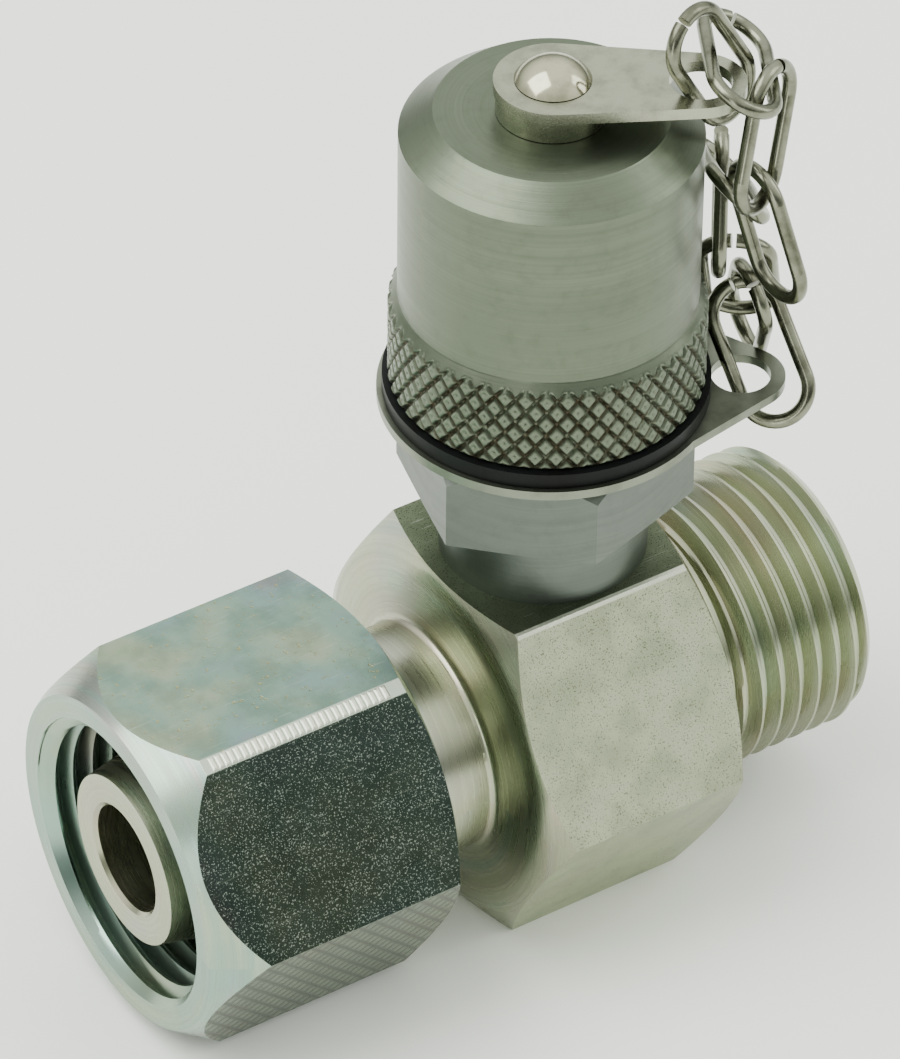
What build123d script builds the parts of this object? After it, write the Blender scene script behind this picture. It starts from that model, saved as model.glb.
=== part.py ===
from build123d import *
from math import acos, asin, atan2, cos, degrees, pi, radians, sin, sqrt, tan
import os

# Hydraulic test point coupling, in millimetres.
# X is the pipe axis: swivel nut end at -X, male stud end at +X.
# Z is the test point's axis, pointing up. The origin is where the two axes cross.

# ---------------------------------------------------------------- clearances
FACE_GAP = 0.05        # between faces that rest on each other and turn
RUNNING_GAP = 0.06     # radial, shaft in hole
THREAD_GAP = 0.10      # radial, between the plain stand-ins of two mating threads
GROOVE_GAP = 0.08      # wire or seal in its groove

# ---------------------------------------------------------------- body
BODY_AF = 26.0         # hexagon across flats
BODY_LEFT = -8.25      # end faces at the rim of the corner chamfer
BODY_RIGHT = 7.55
BODY_RIM_R = 12.6      # radius of that rim
CORNER_CHAMFER = 30.0  # degrees from the face
FACE_RISE = 0.40       # the nut-side face rises this much towards the neck
FLOW_R = 3.75
FLOW_CHAMFER = 0.25

# ---------------------------------------------------------------- neck and cone stub
NECK_R = 7.95
NECK_FILLET = 0.55
NECK_END = -20.6       # where the neck steps down to the cone
NECK_STEP = 0.9        # length of the 45 degree step
STUB_FACE = -32.2
STUB_TIP_R = 5.95
CONE_HALF = 12.0       # half of the 24 degree cone
CONE_BIG_R = 7.15
SEAL_WIRE = 1.5        # section of the cone's O-ring
SEAL_X = -28.2

# ---------------------------------------------------------------- male stud
STUD_END = 20.6
STUD_R = 9.9
STUD_CHAMFER = 0.95
RELIEF_R = 8.75
RELIEF_LENGTH = 2.3
SOCKET_R = 6.05
SOCKET_DEPTH = 7.6
SOCKET_MOUTH_R = 7.15

# ---------------------------------------------------------------- swivel nut
NUT_AF = 24.0
NUT_TURN = -1.4        # degrees that the nut is turned from square
NUT_FRONT = -32.8
NUT_REAR = -14.05
NUT_FRONT_R = 11.66
NUT_FRONT_CHAMFER = 33.7   # degrees from the axis
NUT_REAR_R = 11.9
NUT_THREAD_R = 9.2
NUT_MOUTH_R = 10.1
NUT_THREAD_LENGTH = 11.0
NUT_RELIEF_LENGTH = 1.6
WIRE_X = -16.9         # wire ring that holds the nut on the neck
WIRE_R = 0.72
WIRE_RING_R = 8.12
WIRE_GAP_ANGLE = 14.0

# ---------------------------------------------------------------- test point
PORT_R = 5.0           # threaded port in the body
PORT_DEPTH = 8.2
PORT_PASSAGE_R = 1.6
TP_STUD_LENGTH = 7.8
TP_STUD_R = 4.95
COLLAR_R = 6.9
COLLAR_HEIGHT = 0.9
TP_CONE = 20.7         # degrees from the axis: the cone under the hexagon
TP_AF = 17.0
TP_TURN = 16.5
TP_HEX_HIGH = 12.2     # above the body's top flat
TP_TOP_R = 8.0
TP_SPIGOT_R = 7.9
TP_SPIGOT_LENGTH = 2.1
TP_GROOVE_R = 6.9
TP_GROOVE_LENGTH = 1.2
TP_THREAD_R = 7.35
TP_THREAD_LENGTH = 9.4
TP_NOSE_R = 6.4
TP_NOSE_LENGTH = 3.0
TP_EDGE = 0.6
PORT_SEAL_R = 5.9
PORT_SEAL_WIDTH = 1.1
PORT_SEAL_THICK = 0.7

# ---------------------------------------------------------------- check valve inside
CHAMBER_R = 3.4
CHAMBER_TOP = 19.5     # above the body's top flat
SEAT_R = 1.4
SEAT_LENGTH = 2.0
PROBE_R = 3.0
PROBE_SEAL_WIRE = 1.0
BUSH_LENGTH = 2.8
BUSH_HOLE_R = 1.2
POPPET_R = 3.05
POPPET_HEAD = 2.1
POPPET_PIN_R = 0.95
POPPET_PIN_LENGTH = 3.6
POPPET_SPIGOT_R = 1.6
POPPET_SPIGOT_LENGTH = 2.6
POPPET_SEAL_THICK = 0.6
SPRING_WIRE = 0.6
SPRING_R = 2.35
SPRING_TURNS = 6

# ---------------------------------------------------------------- retaining ring with its lug
RING_OVER = 0.36       # the ring stands out this far past the rubber
RING_THICK = 0.65
LUG_TURN = -27.7       # degrees from +X
LUG_PAST = 1.64        # ring's rim to the lug's hole
LUG_END_R = 2.9
LUG_HOLE_R = 1.95
LUG_FLANK_IN = 0.41    # the flanks are tangent to a circle this much smaller than the ring
DUST_OVER = 0.35       # the rubber stands out this far past the knurl
DUST_THICK = 1.05

# ---------------------------------------------------------------- cap
KNURL_R = 10.25
KNURL_HEIGHT = 6.7
KNURL_COUNT = 40       # diamonds around
KNURL_ROWS = 6         # half rows of diamonds up the band
KNURL_DEPTH = 0.38
KNURL_LAND = 0.6       # share of a diamond that is left flat
CAP_R = 9.65
CAP_BODY = 19.1        # bottom of the cap to the top chamfer
CAP_CHAMFER_HEIGHT = 1.75
CAP_TOP_R = 7.5
CAP_ROOF = 3.5
CAP_SKIRT_R = 8.2
CAP_SKIRT_DEPTH = 1.9
CAP_SEAL_WIRE = 1.5
CAP_SEAL_HEIGHT = 12.4  # above the cap's bottom

# ---------------------------------------------------------------- rivet, spacer and strap
RIVET_R = 1.5
RIVET_HEAD_R = 2.45
RIVET_HEAD_HEIGHT = 1.35
RIVET_TAIL_R = 2.3
RIVET_TAIL_HEIGHT = 0.9
SPACER_R = 3.6
SPACER_THICK = 1.45
STRAP_THICK = 0.8
STRAP_R = 3.75
STRAP_TURN = -33.0
STRAP_REACH = 9.2
STRAP_EYE_R = 2.9
STRAP_HOLE_R = 2.0

# ---------------------------------------------------------------- chain
WIRE = 0.95            # wire thickness
LINK_LENGTH = 10.4     # outside
LINK_WIDTH = 5.45
BUTT_GAP = 0.3         # between the cut ends of a closed link
HOOK_GAP = 3.0         # mouth of the open link behind the cap
# How each link lies: its middle as (past the strap's eye, beside it, above the strap), then
# three angles. heading turns it about Z from the strap's direction, lift raises its long axis,
# twist turns it about its long axis.
LINKS = {
    # middle past the eye, beside it and above it; heading, lift and twist of the loop; gap of the cut ends
    "chain_link_1": ((0.6, 0.5, 1.3), -143, 60, -76, BUTT_GAP),    # stands in the strap's eye
    "chain_link_2": ((2.4, 1.3, 0.8), 95, 0, 29, BUTT_GAP),        # lies over the edge of the cap
    "chain_link_3": ((4.1, -0.8, -3.4), 66, 70, 82, BUTT_GAP),     # hangs from it
    "chain_link_4": ((4.5, -0.8, -10.8), 144, 69, 73, BUTT_GAP),   # hangs outermost
    "chain_link_5": ((2.3, 4.0, -10.4), -82, 19, -46, BUTT_GAP),   # turns back behind the cap
    "chain_link_6": ((1.8, 6.4, -13.7), 89, 60, -90, HOOK_GAP),    # the open one
    "chain_link_7": ((3.1, 6.0, -19.6), -102, 65, 7, BUTT_GAP),    # hangs behind the knurl
    "chain_link_8": ((3.9, 5.6, -22.0), -87, 55, -69, BUTT_GAP),   # turns back up
    "chain_link_9": ((4.6, 2.2, -22.9), 124, 48, -41, BUTT_GAP),   # through the lug's hole
}

# ---------------------------------------------------------------- levels worked out from the above
TOP = BODY_AF / 2
DUST_R = KNURL_R + DUST_OVER
RING_R = DUST_R + RING_OVER
LUG_REACH = RING_R + LUG_PAST
LUG_FLANK_R = RING_R - LUG_FLANK_IN
BODY_CORNER_R = BODY_AF / sqrt(3)
NUT_CORNER_R = NUT_AF / sqrt(3)
TP_CORNER_R = TP_AF / sqrt(3)
HEX_HIGH = TOP + TP_HEX_HIGH
RING_LOW = HEX_HIGH + FACE_GAP
DUST_LOW = RING_LOW + RING_THICK + FACE_GAP
CAP_LOW = DUST_LOW + DUST_THICK + FACE_GAP
CAP_EDGE = CAP_LOW + CAP_BODY
CAP_HIGH = CAP_EDGE + CAP_CHAMFER_HEIGHT
SPACER_LOW = CAP_HIGH + FACE_GAP
STRAP_LOW = SPACER_LOW + SPACER_THICK + FACE_GAP
STRAP_HIGH = STRAP_LOW + STRAP_THICK
RIVET_LOW = STRAP_HIGH + FACE_GAP
SEAT_LOW = TOP + CHAMBER_TOP


def along_z(points):
    """Solid of revolution about Z from (radius, height) points."""
    return revolve(Plane.XZ * make_face(Polyline(*points, close=True)), Axis.Z)


def along_x(points):
    """Solid of revolution about X from (x, radius) points."""
    return revolve(make_face(Polyline(*points, close=True)), Axis.X)


def rod_x(radius, start, end):
    """Plain cylinder about X between two x values."""
    return along_x([(start, 0), (end, 0), (end, radius), (start, radius)])


def rod_z(radius, low, high):
    """Plain cylinder about Z between two heights."""
    return along_z([(0, low), (radius, low), (radius, high), (0, high)])


def ring_z(inner, outer, low, high):
    """Plain washer about Z."""
    return along_z([(inner, low), (outer, low), (outer, high), (inner, high)])


def hex_x(across_flats, turn, start, end):
    """Hexagonal bar about X, a flat up when turn is 0."""
    outline = RegularPolygon(across_flats / sqrt(3), 6, rotation=turn)
    return extrude(Plane.YZ.offset(start) * outline, end - start)


def hex_z(across_flats, turn, low, high):
    """Hexagonal bar about Z."""
    outline = RegularPolygon(across_flats / sqrt(3), 6, rotation=turn)
    return extrude(Plane.XY.offset(low) * outline, high - low)


def make_body():
    """Forged hexagon with the neck and cone stub on one side and the male stud on the other."""
    corner = BODY_CORNER_R - BODY_RIM_R
    corner_length = corner * tan(radians(CORNER_CHAMFER))
    envelope = along_x([
        (BODY_LEFT, 0), (BODY_RIGHT, 0), (BODY_RIGHT, BODY_RIM_R),
        (BODY_RIGHT - corner_length, BODY_CORNER_R), (BODY_LEFT + corner_length, BODY_CORNER_R),
        (BODY_LEFT, BODY_RIM_R),
    ])
    block = hex_x(BODY_AF, 0, BODY_LEFT, BODY_RIGHT) & envelope
    boss = BODY_LEFT - FACE_RISE
    block += along_x([(BODY_LEFT, 0), (BODY_LEFT, BODY_RIM_R), (boss, NECK_R + NECK_FILLET), (boss, 0)])

    cone_big = STUB_FACE + (CONE_BIG_R - STUB_TIP_R) / tan(radians(CONE_HALF))
    neck_line = Polyline(
        (BODY_LEFT, 0), (STUB_FACE, 0), (STUB_FACE, STUB_TIP_R), (cone_big, CONE_BIG_R),
        (NECK_END - NECK_STEP, CONE_BIG_R), (NECK_END, NECK_R), (boss - NECK_FILLET, NECK_R))
    corner_arc = CenterArc((boss - NECK_FILLET, NECK_R + NECK_FILLET), NECK_FILLET, -90, 90)
    closing = Polyline((boss, NECK_R + NECK_FILLET), (BODY_LEFT, NECK_R + NECK_FILLET), (BODY_LEFT, 0))
    neck = revolve(make_face(neck_line + corner_arc + closing), Axis.X)

    thread_start = BODY_RIGHT + RELIEF_LENGTH
    stud = along_x([
        (BODY_RIGHT, 0), (BODY_RIGHT, RELIEF_R), (thread_start, RELIEF_R),
        (thread_start + (STUD_R - RELIEF_R) / 2, STUD_R), (STUD_END - STUD_CHAMFER, STUD_R),
        (STUD_END, STUD_R - STUD_CHAMFER), (STUD_END, 0),
    ])
    body = block + neck + stud

    socket_floor = STUD_END - SOCKET_DEPTH
    cone_inner = STUD_END - (SOCKET_MOUTH_R - SOCKET_R) / tan(radians(CONE_HALF))
    body -= along_x([
        (STUB_FACE, 0), (STUB_FACE, FLOW_R + FLOW_CHAMFER), (STUB_FACE + FLOW_CHAMFER, FLOW_R),
        (socket_floor, FLOW_R), (socket_floor, SOCKET_R), (cone_inner, SOCKET_R),
        (STUD_END, SOCKET_MOUTH_R), (STUD_END, 0),
    ])
    groove_floor = SEAL_X - SEAL_WIRE * 0.75
    seal_floor_r = seal_centre_r() - SEAL_WIRE / 2 - GROOVE_GAP
    body -= along_x([
        (groove_floor, seal_floor_r), (SEAL_X + SEAL_WIRE * 0.75, seal_floor_r),
        (SEAL_X + SEAL_WIRE * 0.75, NECK_R), (groove_floor, NECK_R),
    ])
    wire_half = WIRE_R + GROOVE_GAP
    wire_floor = WIRE_RING_R - WIRE_R - GROOVE_GAP
    body -= along_x([
        (WIRE_X - wire_half, wire_floor), (WIRE_X + wire_half, wire_floor),
        (WIRE_X + wire_half, NECK_R + 1), (WIRE_X - wire_half, NECK_R + 1),
    ])
    body -= rod_z(PORT_R, TOP - PORT_DEPTH, TOP + 1)
    body -= rod_z(PORT_PASSAGE_R, 0, TOP)
    return body


def seal_centre_r():
    """Radius of the cone seal's centre line: the ring stands 0.3 mm proud of the cone."""
    cone_r = STUB_TIP_R + (SEAL_X - STUB_FACE) * tan(radians(CONE_HALF))
    return cone_r + 0.3 - SEAL_WIRE / 2


def make_cone_seal():
    """O-ring in the cone stub's groove."""
    ring = Torus(seal_centre_r(), SEAL_WIRE / 2)
    return Pos(SEAL_X, 0, 0) * Rot(0, 90, 0) * ring


def make_nut():
    """Swivel nut: hexagon with a long front chamfer, threaded bore, and a rear bore on the neck."""
    front_length = (NUT_CORNER_R - NUT_FRONT_R) / tan(radians(NUT_FRONT_CHAMFER))
    rear_length = (NUT_CORNER_R - NUT_REAR_R) * tan(radians(CORNER_CHAMFER))
    envelope = along_x([
        (NUT_FRONT, 0), (NUT_FRONT, NUT_FRONT_R), (NUT_FRONT + front_length, NUT_CORNER_R),
        (NUT_REAR - rear_length, NUT_CORNER_R), (NUT_REAR, NUT_REAR_R), (NUT_REAR, 0),
    ])
    nut = hex_x(NUT_AF, NUT_TURN, NUT_FRONT, NUT_REAR) & envelope
    rear_bore = NECK_R + RUNNING_GAP
    mouth = NUT_MOUTH_R - NUT_THREAD_R
    thread_end = NUT_FRONT + NUT_THREAD_LENGTH
    relief_end = thread_end + NUT_RELIEF_LENGTH
    nut -= along_x([
        (NUT_FRONT, 0), (NUT_FRONT, NUT_MOUTH_R), (NUT_FRONT + mouth, NUT_THREAD_R),
        (thread_end, NUT_THREAD_R), (thread_end, NUT_MOUTH_R), (relief_end, NUT_MOUTH_R),
        (relief_end + NUT_MOUTH_R - rear_bore, rear_bore), (NUT_REAR, rear_bore), (NUT_REAR, 0),
    ])
    wire_half = WIRE_R + GROOVE_GAP
    wire_roof = WIRE_RING_R + WIRE_R + GROOVE_GAP
    nut -= along_x([
        (WIRE_X - wire_half, 0), (WIRE_X + wire_half, 0),
        (WIRE_X + wire_half, wire_roof), (WIRE_X - wire_half, wire_roof),
    ])
    return nut


def make_wire_ring():
    """Open ring of round wire, half in the neck and half in the nut."""
    start = 90 + WIRE_GAP_ANGLE / 2
    path = Plane.YZ.offset(WIRE_X) * CenterArc((0, 0), WIRE_RING_R, start, 360 - WIRE_GAP_ANGLE)
    return sweep(Plane(path @ 0, z_dir=path % 0) * Circle(WIRE_R), path)


def make_test_point():
    """Turned test point: port stud, cone, hexagon, cap thread and probe bore."""
    collar_top = TOP + COLLAR_HEIGHT
    cone_top = collar_top + (TP_CORNER_R - COLLAR_R) / tan(radians(TP_CONE))
    spigot_top = HEX_HIGH + TP_SPIGOT_LENGTH
    thread_low = spigot_top + TP_GROOVE_LENGTH
    thread_high = thread_low + TP_THREAD_LENGTH
    nose_top = thread_high + TP_NOSE_LENGTH
    stud_low = TOP - TP_STUD_LENGTH
    turned = along_z([
        (0, stud_low), (TP_STUD_R - TP_EDGE, stud_low), (TP_STUD_R, stud_low + TP_EDGE),
        (TP_STUD_R, TOP), (COLLAR_R, TOP), (COLLAR_R, collar_top), (TP_CORNER_R, cone_top),
        (TP_CORNER_R, HEX_HIGH - (TP_CORNER_R - TP_TOP_R)), (TP_TOP_R, HEX_HIGH),
        (TP_SPIGOT_R, HEX_HIGH), (TP_SPIGOT_R, spigot_top), (TP_GROOVE_R, spigot_top),
        (TP_GROOVE_R, thread_low), (TP_THREAD_R - TP_EDGE / 2, thread_low),
        (TP_THREAD_R, thread_low + TP_EDGE / 2), (TP_THREAD_R, thread_high - TP_EDGE),
        (TP_NOSE_R, thread_high), (TP_NOSE_R, nose_top - TP_EDGE), (TP_NOSE_R - TP_EDGE, nose_top),
        (0, nose_top),
    ])
    collar = rod_z(COLLAR_R + 2, stud_low, collar_top)
    upper = rod_z(TP_CORNER_R + 1, HEX_HIGH, nose_top)
    point = turned & (hex_z(TP_AF, TP_TURN, collar_top, HEX_HIGH) + collar + upper)

    chamber_low = stud_low - 1
    point -= rod_z(CHAMBER_R, chamber_low, SEAT_LOW)
    point -= rod_z(SEAT_R, SEAT_LOW - 1, SEAT_LOW + SEAT_LENGTH)
    point -= along_z([
        (0, SEAT_LOW + SEAT_LENGTH), (PROBE_R, SEAT_LOW + SEAT_LENGTH), (PROBE_R, nose_top - TP_EDGE),
        (PROBE_R + TP_EDGE, nose_top), (PROBE_R + TP_EDGE, nose_top + 1), (0, nose_top + 1),
    ])
    seal_half = PROBE_SEAL_WIRE / 2 + GROOVE_GAP
    seal_mid = probe_seal_height()
    point -= ring_z(PROBE_R - 1, PROBE_R + PROBE_SEAL_WIRE * 0.8 + GROOVE_GAP,
                    seal_mid - seal_half, seal_mid + seal_half)
    point -= ring_z(PORT_SEAL_R - PORT_SEAL_WIDTH / 2 - FACE_GAP, PORT_SEAL_R + PORT_SEAL_WIDTH / 2 + FACE_GAP,
                    TOP, TOP + PORT_SEAL_THICK + 2 * FACE_GAP)
    return point


def probe_seal_height():
    """Height of the probe seal, halfway up the probe bore."""
    nose_top = HEX_HIGH + TP_SPIGOT_LENGTH + TP_GROOVE_LENGTH + TP_THREAD_LENGTH + TP_NOSE_LENGTH
    return (SEAT_LOW + SEAT_LENGTH + nose_top) / 2


def make_probe_seal():
    """O-ring in the probe bore."""
    reach = PROBE_R + PROBE_SEAL_WIRE * 0.8 - PROBE_SEAL_WIRE / 2
    return Pos(0, 0, probe_seal_height()) * Torus(reach, PROBE_SEAL_WIRE / 2)


def make_port_seal():
    """Flat elastomer ring under the collar."""
    return ring_z(PORT_SEAL_R - PORT_SEAL_WIDTH / 2, PORT_SEAL_R + PORT_SEAL_WIDTH / 2,
                  TOP + FACE_GAP, TOP + FACE_GAP + PORT_SEAL_THICK)


def bush_top():
    """Height of the spring seat's upper face."""
    return TOP - TP_STUD_LENGTH + FACE_GAP + BUSH_LENGTH


def make_spring_seat():
    """Bush that closes the valve chamber and carries the spring."""
    low = TOP - TP_STUD_LENGTH + FACE_GAP
    return ring_z(BUSH_HOLE_R, CHAMBER_R, low, bush_top())


def poppet_low():
    """Height of the underside of the poppet's head."""
    return SEAT_LOW - FACE_GAP - POPPET_SEAL_THICK - POPPET_HEAD


def make_poppet():
    """Valve poppet: head, spring spigot below and the pin that a probe pushes."""
    low = poppet_low()
    head_top = low + POPPET_HEAD
    return along_z([
        (0, low - POPPET_SPIGOT_LENGTH), (POPPET_SPIGOT_R - 0.3, low - POPPET_SPIGOT_LENGTH),
        (POPPET_SPIGOT_R, low - POPPET_SPIGOT_LENGTH + 0.3), (POPPET_SPIGOT_R, low),
        (POPPET_R, low), (POPPET_R, head_top), (POPPET_PIN_R, head_top),
        (POPPET_PIN_R, head_top + POPPET_PIN_LENGTH - 0.2), (POPPET_PIN_R - 0.2, head_top + POPPET_PIN_LENGTH),
        (0, head_top + POPPET_PIN_LENGTH),
    ])


def make_poppet_seal():
    """Seal washer on the poppet's head."""
    low = poppet_low() + POPPET_HEAD
    return ring_z(POPPET_PIN_R, POPPET_R - 0.1, low, low + POPPET_SEAL_THICK)


def make_spring():
    """Coil spring between the bush and the poppet's head."""
    low = bush_top() + FACE_GAP + SPRING_WIRE / 2
    high = poppet_low() - FACE_GAP - SPRING_WIRE / 2
    coil = Pos(0, 0, low) * Helix((high - low) / SPRING_TURNS, high - low, SPRING_R)
    return sweep(Plane(coil @ 0, z_dir=coil % 0) * Circle(SPRING_WIRE / 2), coil, is_frenet=True)


def teardrop(big_r, reach, small_r, turn):
    """Outline of two circles joined by their outer tangents, pointing along turn."""
    spread = acos((big_r - small_r) / reach)
    near = [(big_r * cos(spread), big_r * sin(spread)),
            (reach + small_r * cos(spread), small_r * sin(spread))]
    far = [(x, -y) for x, y in reversed(near)]
    outline = make_face(Polyline(*near, *far, close=True))
    return Rot(0, 0, turn) * (outline + Pos(reach, 0) * Circle(small_r))


def make_retaining_ring():
    """Pressed ring under the cap, with the lug that holds the chain."""
    plate = Circle(RING_R) + teardrop(LUG_FLANK_R, LUG_REACH, LUG_END_R, LUG_TURN)
    plate -= Circle(TP_SPIGOT_R + RUNNING_GAP)
    plate -= Rot(0, 0, LUG_TURN) * (Pos(LUG_REACH, 0) * Circle(LUG_HOLE_R))
    return extrude(Plane.XY.offset(RING_LOW) * plate, RING_THICK)


def make_dust_ring():
    """Black rubber ring between the retaining ring and the cap."""
    return ring_z(TP_SPIGOT_R + RUNNING_GAP, DUST_R, DUST_LOW, DUST_LOW + DUST_THICK)


def knurl_point(column, row, radius):
    """Point of the knurl's grid: column and row may be halves."""
    angle = 2 * pi * column / KNURL_COUNT
    height = CAP_LOW + KNURL_HEIGHT * row / KNURL_ROWS
    return (radius * cos(angle), radius * sin(angle), height)


def knurl_cell(column, row):
    """Faces of one diamond: four slopes up to a flat land, cut off at the band's ends."""
    valley = KNURL_R - KNURL_DEPTH
    corners = [(column, row - 1), (column + 0.5, row), (column, row + 1), (column - 0.5, row)]
    lands = [(column + (c - column) * KNURL_LAND, row + (r - row) * KNURL_LAND) for c, r in corners]
    outer = [knurl_point(c, r, valley) for c, r in corners]
    inner = [knurl_point(c, r, KNURL_R) for c, r in lands]
    if row == 0:
        low_land = (knurl_point(column + KNURL_LAND / 2, 0, KNURL_R), knurl_point(column - KNURL_LAND / 2, 0, KNURL_R))
        return [(outer[1], outer[2], inner[2], low_land[0]), (outer[2], outer[3], low_land[1], inner[2]),
                (low_land[0], inner[2], low_land[1])]
    if row == KNURL_ROWS:
        top_land = (knurl_point(column + KNURL_LAND / 2, row, KNURL_R), knurl_point(column - KNURL_LAND / 2, row, KNURL_R))
        return [(outer[0], outer[1], top_land[0], inner[0]), (outer[3], outer[0], inner[0], top_land[1]),
                (inner[0], top_land[0], top_land[1])]
    slopes = [(outer[k], outer[(k + 1) % 4], inner[(k + 1) % 4], inner[k]) for k in range(4)]
    return slopes + [tuple(inner)]


def triangles(points):
    """A face's points as triangles, so that every face is flat."""
    return [(points[0], points[k], points[k + 1]) for k in range(1, len(points) - 1)]


def make_knurl_band():
    """Knurled band as one closed solid with a plain inner wall."""
    inner_r = CAP_R - 0.6
    cells = []
    for row in range(KNURL_ROWS + 1):
        shift = 0.5 * (row % 2)
        for index in range(KNURL_COUNT):
            cells += knurl_cell(index + shift, row)
    for level, low in ((0, True), (KNURL_ROWS, False)):
        shift = 0.5 * (level % 2)
        for index in range(KNURL_COUNT):
            column = index + shift
            rim = [knurl_point(column - 0.5, level, KNURL_R - KNURL_DEPTH),
                   knurl_point(column - KNURL_LAND / 2, level, KNURL_R),
                   knurl_point(column + KNURL_LAND / 2, level, KNURL_R),
                   knurl_point(column + 0.5, level, KNURL_R - KNURL_DEPTH),
                   knurl_point(column + 0.5, level, inner_r), knurl_point(column - 0.5, level, inner_r)]
            cells.append(tuple(rim) if not low else tuple(reversed(rim)))
    for index in range(KNURL_COUNT):
        low_shift = 0.5 * (KNURL_ROWS % 2)
        low_a, low_b = index - 0.5, index + 0.5
        high_a, high_b = low_a + low_shift, low_b + low_shift
        cells.append((knurl_point(low_a, 0, inner_r), knurl_point(low_b, 0, inner_r),
                      knurl_point(high_a, KNURL_ROWS, inner_r)))
        cells.append((knurl_point(low_b, 0, inner_r), knurl_point(high_b, KNURL_ROWS, inner_r),
                      knurl_point(high_a, KNURL_ROWS, inner_r)))
    flats = []
    for cell in cells:
        level = len({round(point[2], 6) for point in cell}) == 1
        for piece in ([cell] if level else triangles(cell)):
            flats.append(Face(Wire.make_polygon([Vector(*point) for point in piece], close=True)))
    return Solid(Shell(flats))


def make_cap():
    """Screw cap: knurled band, plain cylinder, top chamfer and the bores inside."""
    bore = TP_THREAD_R + THREAD_GAP
    roof = CAP_HIGH - CAP_ROOF
    cap = along_z([
        (0, CAP_LOW), (CAP_R, CAP_LOW), (CAP_R, CAP_EDGE), (CAP_TOP_R, CAP_HIGH), (0, CAP_HIGH)])
    cap += make_knurl_band()
    cap -= along_z([
        (0, CAP_LOW - 1), (CAP_SKIRT_R, CAP_LOW - 1), (CAP_SKIRT_R, CAP_LOW + CAP_SKIRT_DEPTH),
        (bore, CAP_LOW + CAP_SKIRT_DEPTH + CAP_SKIRT_R - bore), (bore, roof), (0, roof),
    ])
    cap -= rod_z(RIVET_R + RUNNING_GAP, roof - 1, CAP_HIGH + 1)
    half = CAP_SEAL_WIRE / 2 + GROOVE_GAP
    middle = CAP_LOW + CAP_SEAL_HEIGHT
    cap -= ring_z(bore - 1, TP_NOSE_R + CAP_SEAL_WIRE + 2 * GROOVE_GAP, middle - half, middle + half)
    return cap


def make_cap_seal():
    """O-ring in the cap's groove, around the test point's nose."""
    reach = TP_NOSE_R + GROOVE_GAP + CAP_SEAL_WIRE / 2
    return Pos(0, 0, CAP_LOW + CAP_SEAL_HEIGHT) * Torus(reach, CAP_SEAL_WIRE / 2)


def make_rivet():
    """Domed rivet that holds the strap on the cap."""
    tail_top = CAP_HIGH - CAP_ROOF - FACE_GAP
    dome_top = (0, RIVET_LOW + RIVET_HEAD_HEIGHT)
    dome_edge = (RIVET_HEAD_R, RIVET_LOW)
    dome_r = (RIVET_HEAD_R ** 2 + RIVET_HEAD_HEIGHT ** 2) / (2 * RIVET_HEAD_HEIGHT)
    half = asin(RIVET_HEAD_R / dome_r) / 2
    dome_middle = (dome_r * sin(half), dome_top[1] - dome_r * (1 - cos(half)))
    shank = Polyline(dome_edge, (RIVET_R, RIVET_LOW), (RIVET_R, tail_top), (RIVET_TAIL_R, tail_top),
                     (RIVET_TAIL_R - 0.4, tail_top - RIVET_TAIL_HEIGHT), (0, tail_top - RIVET_TAIL_HEIGHT), dome_top)
    dome = ThreePointArc(dome_top, dome_middle, dome_edge)
    return revolve(Plane.XZ * make_face(shank + dome), Axis.Z)


def make_spacer():
    """Washer under the strap."""
    return ring_z(RIVET_R + RUNNING_GAP, SPACER_R, SPACER_LOW, SPACER_LOW + SPACER_THICK)


def make_strap():
    """Flat strap that turns on the rivet and carries the chain in its eye."""
    plate = Circle(STRAP_R) + teardrop(STRAP_R, STRAP_REACH, STRAP_EYE_R, STRAP_TURN)
    plate = plate - Circle(RIVET_R + RUNNING_GAP)
    plate -= Rot(0, 0, STRAP_TURN) * (Pos(STRAP_REACH, 0) * Circle(STRAP_HOLE_R))
    return extrude(Plane.XY.offset(STRAP_LOW) * plate, STRAP_THICK)


def make_link(middle, heading, lift, twist, gap):
    """Link of round wire, bent to a long loop, with its cut ends apart by gap in its upper bend."""
    bend = (LINK_WIDTH - WIRE) / 2
    leg = (LINK_LENGTH - WIRE) / 2 - bend
    half = degrees(asin(gap / 2 / bend))
    path = CenterArc((0, leg), bend, 90 + half, 90 - half) + Line((-bend, leg), (-bend, -leg))
    path += CenterArc((0, -leg), bend, 180, 180)
    path += Line((bend, -leg), (bend, leg)) + CenterArc((0, leg), bend, 0, 90 - half)
    wire = sweep(Plane(path @ 0, z_dir=path % 0) * Circle(WIRE / 2), path)
    level = STRAP_LOW + STRAP_THICK / 2
    eye = Rot(0, 0, STRAP_TURN) * Pos(STRAP_REACH, 0, level)
    lie = Pos(*middle) * Rot(0, 0, heading) * Rot(0, -lift, 0) * Rot(twist, 0, 0) * Rot(0, 0, -90)
    return eye * lie * wire


def main():
    """Build every piece and write one STEP file for each."""
    os.makedirs("parts", exist_ok=True)
    pieces = {
        "body": make_body(),
        "cone_seal": make_cone_seal(),
        "swivel_nut": make_nut(),
        "nut_wire_ring": make_wire_ring(),
        "test_point": make_test_point(),
        "port_seal": make_port_seal(),
        "probe_seal": make_probe_seal(),
        "spring_seat": make_spring_seat(),
        "valve_poppet": make_poppet(),
        "poppet_seal": make_poppet_seal(),
        "valve_spring": make_spring(),
        "retaining_ring": make_retaining_ring(),
        "dust_ring": make_dust_ring(),
        "cap": make_cap(),
        "cap_seal": make_cap_seal(),
        "rivet": make_rivet(),
        "strap_spacer": make_spacer(),
        "strap": make_strap(),
    }
    for name, lie in LINKS.items():
        pieces[name] = make_link(*lie)
    for name, piece in pieces.items():
        export_step(piece, f"parts/{name}.step")


main()
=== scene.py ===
"""Visual model of a hydraulic test point coupling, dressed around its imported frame."""

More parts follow.
